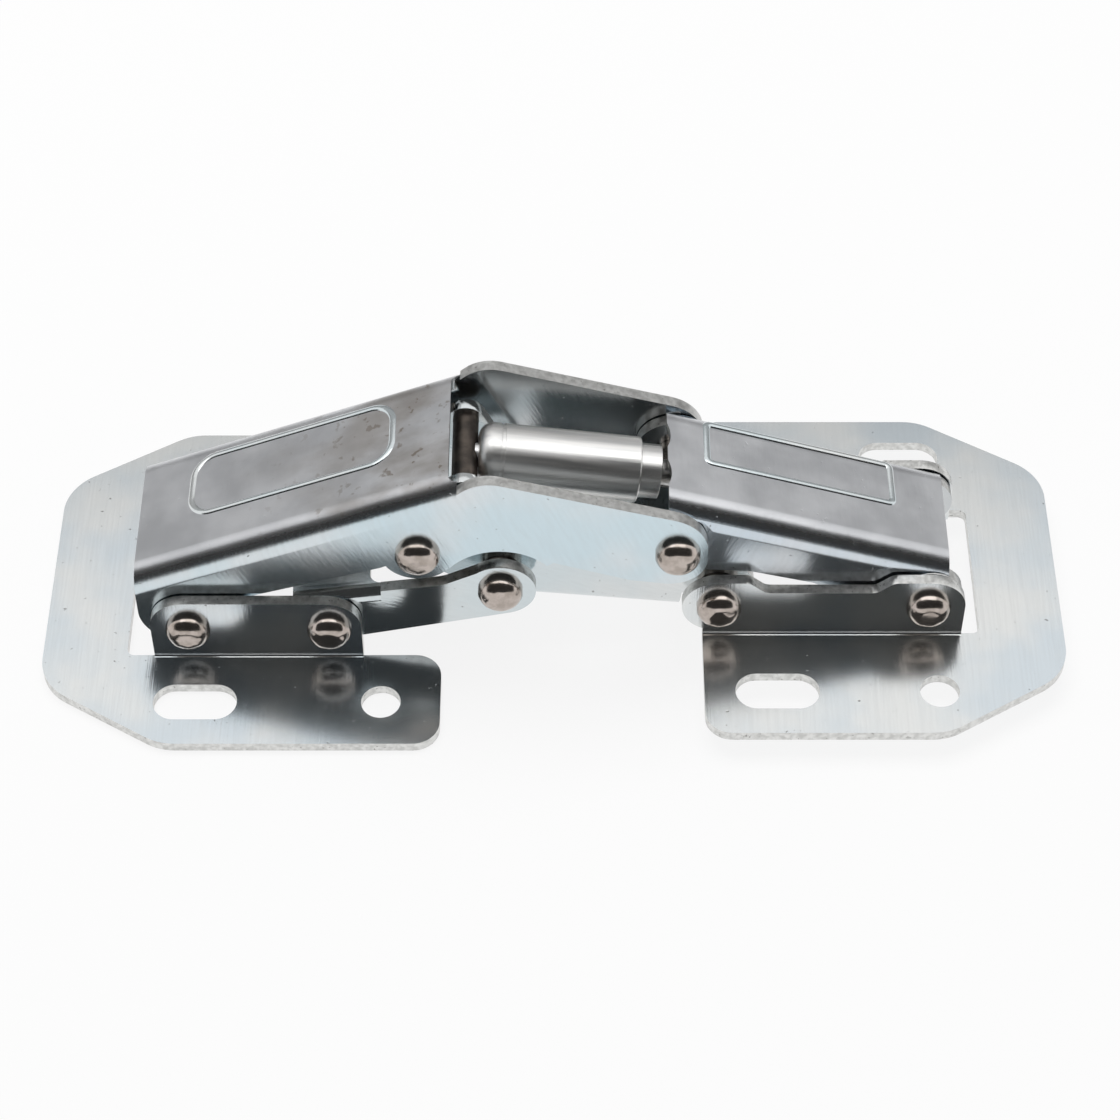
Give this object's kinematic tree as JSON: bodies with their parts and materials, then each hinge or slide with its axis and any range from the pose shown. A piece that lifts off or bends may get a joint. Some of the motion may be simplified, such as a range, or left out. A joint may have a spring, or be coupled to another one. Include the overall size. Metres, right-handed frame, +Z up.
{
  "type": "non-mortise cabinet hinge",
  "caption": "Surface-mounted folding cabinet hinge: two slotted base plates joined by a riveted channel linkage with a telescoping over-centre spring, shown open.",
  "frame": {"origin": "middle of the open hinge's length and depth, at the left plate's underside", "axes": "+X along the open hinge towards the raised plate, +Z up, the front of the pictured side is -Y"},
  "size_m": [0.1094, 0.044, 0.0272],
  "materials": {
    "plate_zinc": "bright zinc plate, lightly brushed",
    "channel_zinc": "satin zinc plate",
    "link_zinc": "bright zinc plate",
    "rivet_nickel": "nickel plate, peened",
    "bright_steel": "polished",
    "spring_steel": "drawn wire",
    "dark_pin": "dark oiled"
  },
  "bodies": {
    "left_plate": {"left_base_plate": "plate_zinc", "left_outer_rivet_front": "rivet_nickel", "left_outer_rivet_back": "rivet_nickel", "left_inner_rivet_front": "rivet_nickel", "left_inner_rivet_back": "rivet_nickel"},
    "main_channel": {"main_channel": "channel_zinc", "crank_rivet_front": "rivet_nickel", "crank_rivet_back": "rivet_nickel", "elbow_rivet_front": "rivet_nickel", "elbow_rivet_back": "rivet_nickel"},
    "lower_link": {"lower_link": "link_zinc", "link_rivet_front": "rivet_nickel", "link_rivet_back": "rivet_nickel"},
    "bell_crank": {"bell_crank": "link_zinc", "spring_pin": "dark_pin"},
    "cross_channel": {"cross_channel": "channel_zinc", "seat_pin": "dark_pin"},
    "right_plate": {"right_base_plate": "plate_zinc", "right_inner_rivet_front": "rivet_nickel", "right_inner_rivet_back": "rivet_nickel", "right_outer_rivet_front": "rivet_nickel", "right_outer_rivet_back": "rivet_nickel"},
    "spring_barrel": {"spring_barrel": "bright_steel", "spring_coil": "spring_steel"},
    "spring_plunger": {"spring_plunger": "bright_steel"}
  },
  "joints": [
    {"name": "main_fold", "type": "hinge", "parent": "left_plate", "child": "main_channel", "pos_m": [-0.0387, 0, 0.0056], "axis": [0, -1, 0], "range_deg": [0, 58.97]},
    {"name": "lower_fold", "type": "hinge", "parent": "left_plate", "child": "lower_link", "pos_m": [-0.0237, 0, 0.0056], "axis": [0, -1, 0], "range_deg": [0, 99.41]},
    {"name": "crank_fold", "type": "hinge", "parent": "main_channel", "child": "bell_crank", "pos_m": [-0.014, 0, 0.0163], "axis": [0, -1, 0], "range_deg": [-98.58, 0]},
    {"name": "elbow_fold", "type": "hinge", "parent": "main_channel", "child": "cross_channel", "pos_m": [0.013, 0, 0.0163], "axis": [0, -1, 0], "range_deg": [-121.06, 0]},
    {"name": "right_fold", "type": "hinge", "parent": "cross_channel", "child": "right_plate", "pos_m": [0.0398, 0, 0.0077], "axis": [0, -1, 0], "range_deg": [0, 152.09]},
    {"name": "barrel_swing", "type": "hinge", "parent": "bell_crank", "child": "spring_barrel", "pos_m": [-0.0091, 0, 0.0224], "axis": [0, -1, 0], "range_deg": [0, 114.77]},
    {"name": "plunger_swing", "type": "hinge", "parent": "cross_channel", "child": "spring_plunger", "pos_m": [0.0143, 0, 0.019], "axis": [0, -1, 0], "range_deg": [0, 137.25], "deforming": ["spring_coil"]}
  ],
  "couplings": [
    {"joint": "lower_fold", "follows": "main_fold", "ratio": 1.6856},
    {"joint": "crank_fold", "follows": "main_fold", "ratio": -1.6716},
    {"joint": "elbow_fold", "follows": "main_fold", "ratio": -2.0528},
    {"joint": "right_fold", "follows": "main_fold", "ratio": 2.5789},
    {"joint": "barrel_swing", "follows": "main_fold", "ratio": 1.9461},
    {"joint": "plunger_swing", "follows": "main_fold", "ratio": 2.3273}
  ]
}
